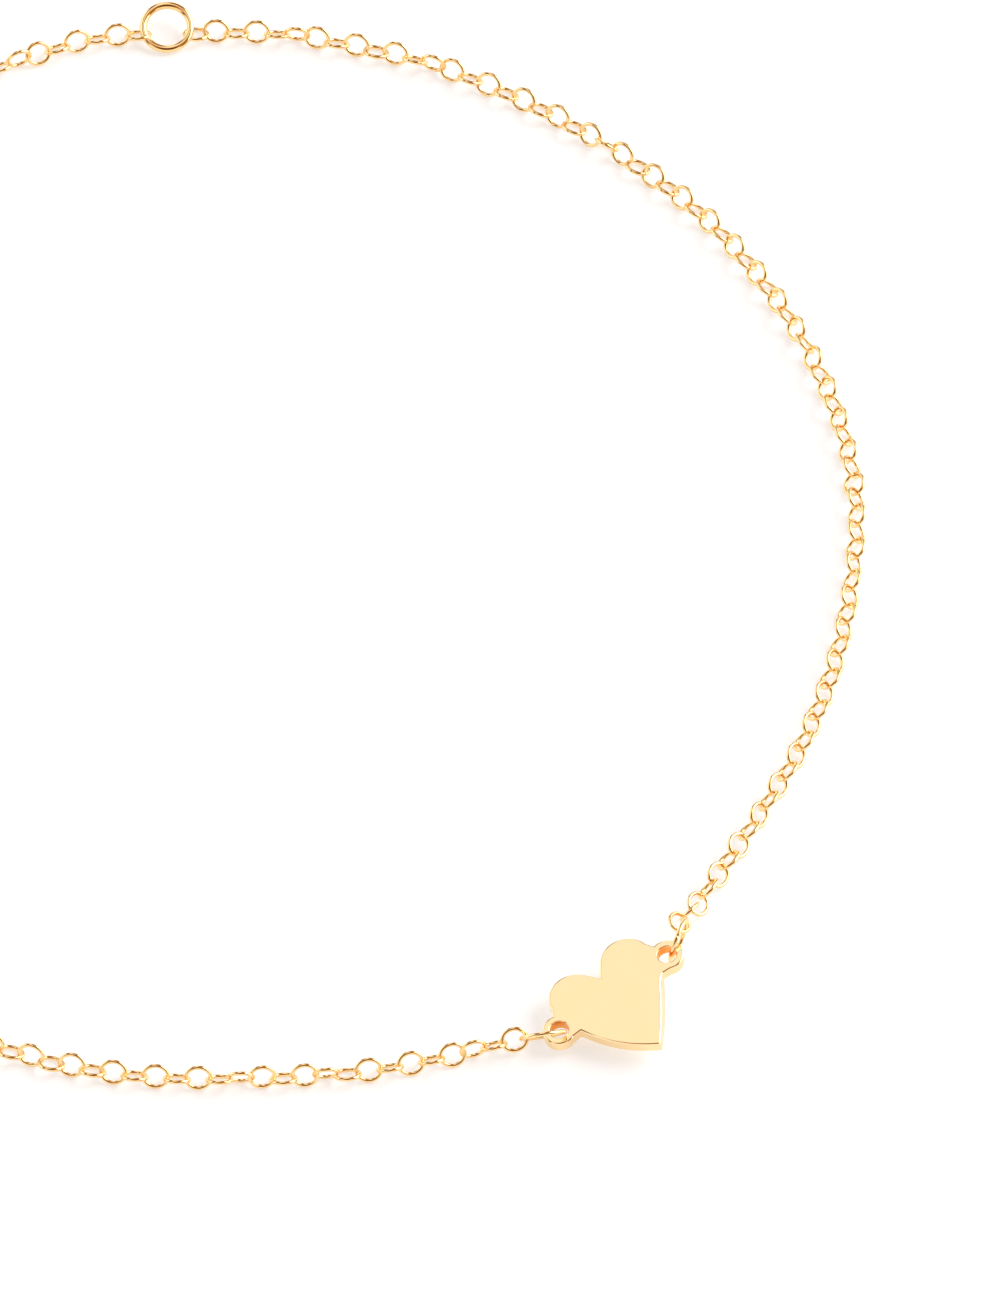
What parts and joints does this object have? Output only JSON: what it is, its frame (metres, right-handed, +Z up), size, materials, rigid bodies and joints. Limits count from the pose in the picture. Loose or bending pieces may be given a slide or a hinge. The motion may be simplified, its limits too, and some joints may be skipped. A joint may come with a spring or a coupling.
{
  "type": "pendant necklace",
  "caption": "Fine gold-plated cable-chain necklace with a flat heart plate held by two lugs, an extension chain and a lobster clasp.",
  "frame": {"origin": "on the surface that the necklace lies on, below the middle of its outline", "axes": "+Z up from the surface; +X towards the side with the heart plate's chain arm that holds the adjuster ring; -Y towards the heart plate"},
  "size_m": [0.1502, 0.1376, 0.0057],
  "materials": {
    "polished_gold_plate": "mirror-polished gold plating",
    "gold_plated_wire": "bright gold plating on drawn wire",
    "spring_steel": "drawn wire"
  },
  "bodies": {
    "heart_plate": {"heart_plate": "polished_gold_plate"},
    "heart_ring_left": {"heart_ring_left": "gold_plated_wire"},
    "heart_ring_right": {"heart_ring_right": "gold_plated_wire"},
    "chain_right_1": {"chain_right_1": "gold_plated_wire"},
    "chain_right_2": {"chain_right_2": "gold_plated_wire"},
    "chain_right_3": {"chain_right_3": "gold_plated_wire"},
    "chain_right_4": {"chain_right_4": "gold_plated_wire"},
    "chain_right_5": {"chain_right_5": "gold_plated_wire"},
    "chain_right_6": {"chain_right_6": "gold_plated_wire"},
    "chain_right_7": {"chain_right_7": "gold_plated_wire"},
    "chain_right_8": {"chain_right_8": "gold_plated_wire"},
    "adjuster_ring": {"adjuster_ring": "gold_plated_wire"},
    "chain_extension_1": {"chain_extension_1": "gold_plated_wire"},
    "chain_extension_2": {"chain_extension_2": "gold_plated_wire"},
    "end_ring": {"end_ring": "gold_plated_wire"},
    "chain_left_1": {"chain_left_1": "gold_plated_wire"},
    "chain_left_2": {"chain_left_2": "gold_plated_wire"},
    "chain_left_3": {"chain_left_3": "gold_plated_wire"},
    "chain_left_4": {"chain_left_4": "gold_plated_wire"},
    "chain_left_5": {"chain_left_5": "gold_plated_wire"},
    "chain_left_6": {"chain_left_6": "gold_plated_wire"},
    "chain_left_7": {"chain_left_7": "gold_plated_wire"},
    "chain_left_8": {"chain_left_8": "gold_plated_wire"},
    "chain_left_9": {"chain_left_9": "gold_plated_wire"},
    "chain_left_10": {"chain_left_10": "gold_plated_wire"},
    "clasp_ring": {"clasp_ring": "gold_plated_wire"},
    "clasp_lever": {"clasp_lever": "gold_plated_wire"},
    "clasp_body": {"clasp_body": "gold_plated_wire", "clasp_pin": "gold_plated_wire", "clasp_spring": "spring_steel"}
  },
  "joints": [
    {"name": "heart_ring_right_swing", "type": "hinge", "parent": "heart_plate", "child": "heart_ring_right", "pos_m": [0.05479, -0.05498, 0.00345], "axis": [0, 0, 1], "range_deg": [-25, 10]},
    {"name": "right_run_1_bend", "type": "hinge", "parent": "heart_ring_right", "child": "chain_right_1", "pos_m": [0.05631, -0.0515, 0.00188], "axis": [0, 0, -1], "range_deg": [-10, 25]},
    {"name": "right_run_2_bend", "type": "hinge", "parent": "chain_right_1", "child": "chain_right_2", "pos_m": [0.06447, -0.03484, 0.00101], "axis": [0, 0, 1], "range_deg": [-30, 15]},
    {"name": "right_run_3_bend", "type": "hinge", "parent": "chain_right_2", "child": "chain_right_3", "pos_m": [0.072, -0.0155, 0.001], "axis": [0, 0, -1], "range_deg": [-20, 30]},
    {"name": "right_run_4_bend", "type": "hinge", "parent": "chain_right_3", "child": "chain_right_4", "pos_m": [0.07417, 0.00306, 0.001], "axis": [0, 0, 1], "range_deg": [-30, 25]},
    {"name": "right_run_5_bend", "type": "hinge", "parent": "chain_right_4", "child": "chain_right_5", "pos_m": [0.06969, 0.02328, 0.001], "axis": [0, 0, -1], "range_deg": [-25, 30]},
    {"name": "right_run_6_bend", "type": "hinge", "parent": "chain_right_5", "child": "chain_right_6", "pos_m": [0.0591, 0.04112, 0.001], "axis": [0, 0, 1], "range_deg": [-30, 25]},
    {"name": "right_run_7_bend", "type": "hinge", "parent": "chain_right_6", "child": "chain_right_7", "pos_m": [0.04521, 0.0536, 0.001], "axis": [0, 0, -1], "range_deg": [-25, 30]},
    {"name": "right_run_8_bend", "type": "hinge", "parent": "chain_right_7", "child": "chain_right_8", "pos_m": [0.02671, 0.06296, 0.001], "axis": [0, 0, 1], "range_deg": [-30, 25]},
    {"name": "adjuster_turn", "type": "hinge", "parent": "chain_right_8", "child": "adjuster_ring", "pos_m": [0.00638, 0.06571, 0.001], "axis": [0, 0, -1], "range_deg": [-30, 10]},
    {"name": "extension_run_1_bend", "type": "hinge", "parent": "adjuster_ring", "child": "chain_extension_1", "pos_m": [0.00196, 0.06551, 0.001], "axis": [0, 0, 1], "range_deg": [-25, 30]},
    {"name": "extension_run_2_bend", "type": "hinge", "parent": "chain_extension_1", "child": "chain_extension_2", "pos_m": [-0.01591, 0.05973, 0.001], "axis": [0, 0, -1], "range_deg": [-30, 30]},
    {"name": "end_ring_turn", "type": "hinge", "parent": "chain_extension_2", "child": "end_ring", "pos_m": [-0.03407, 0.04931, 0.001], "axis": [0, 0, 1], "range_deg": [-25, 25]},
    {"name": "heart_ring_left_swing", "type": "hinge", "parent": "heart_plate", "child": "heart_ring_left", "pos_m": [0.04427, -0.06276, 0.00163], "axis": [0, 0, 1], "range_deg": [-10, 25]},
    {"name": "left_run_1_bend", "type": "hinge", "parent": "heart_ring_left", "child": "chain_left_1", "pos_m": [0.04078, -0.06323, 0.00151], "axis": [0, 0, -1], "range_deg": [-25, 10]},
    {"name": "left_run_2_bend", "type": "hinge", "parent": "chain_left_1", "child": "chain_left_2", "pos_m": [0.02261, -0.0673, 0.001], "axis": [0, 0, 1], "range_deg": [-12, 30]},
    {"name": "left_run_3_bend", "type": "hinge", "parent": "chain_left_2", "child": "chain_left_3", "pos_m": [0.00398, -0.06757, 0.001], "axis": [0, 0, -1], "range_deg": [-30, 12]},
    {"name": "left_run_4_bend", "type": "hinge", "parent": "chain_left_3", "child": "chain_left_4", "pos_m": [-0.01398, -0.06271, 0.001], "axis": [0, 0, 1], "range_deg": [-12, 30]},
    {"name": "left_run_5_bend", "type": "hinge", "parent": "chain_left_4", "child": "chain_left_5", "pos_m": [-0.03103, -0.05517, 0.001], "axis": [0, 0, -1], "range_deg": [-30, 12]},
    {"name": "left_run_6_bend", "type": "hinge", "parent": "chain_left_5", "child": "chain_left_6", "pos_m": [-0.04633, -0.04455, 0.001], "axis": [0, 0, 1], "range_deg": [-12, 30]},
    {"name": "left_run_7_bend", "type": "hinge", "parent": "chain_left_6", "child": "chain_left_7", "pos_m": [-0.05859, -0.03055, 0.001], "axis": [0, 0, -1], "range_deg": [-30, 12]},
    {"name": "left_run_8_bend", "type": "hinge", "parent": "chain_left_7", "child": "chain_left_8", "pos_m": [-0.06704, -0.01395, 0.001], "axis": [0, 0, 1], "range_deg": [-15, 30]},
    {"name": "left_run_9_bend", "type": "hinge", "parent": "chain_left_8", "child": "chain_left_9", "pos_m": [-0.07168, 0.0041, 0.001], "axis": [0, 0, -1], "range_deg": [-30, 20]},
    {"name": "left_run_10_bend", "type": "hinge", "parent": "chain_left_9", "child": "chain_left_10", "pos_m": [-0.07303, 0.0227, 0.001], "axis": [0, 0, 1], "range_deg": [-30, 30]},
    {"name": "clasp_ring_turn", "type": "hinge", "parent": "chain_left_10", "child": "clasp_ring", "pos_m": [-0.07243, 0.04326, 0.001], "axis": [0, 0, -1], "range_deg": [0, 20]},
    {"name": "clasp_turn", "type": "hinge", "parent": "clasp_ring", "child": "clasp_body", "pos_m": [-0.07234, 0.04583, 0.00103], "axis": [0, 0, 1], "range_deg": [-25, 25]},
    {"name": "clasp_lever_open", "type": "hinge", "parent": "clasp_body", "child": "clasp_lever", "pos_m": [-0.07299, 0.0487, 0.00103], "axis": [0, 0, -1], "range_deg": [0, 20], "stiffness_Nm_per_rad": 0.002, "springref_deg": -11.46}
  ]
}
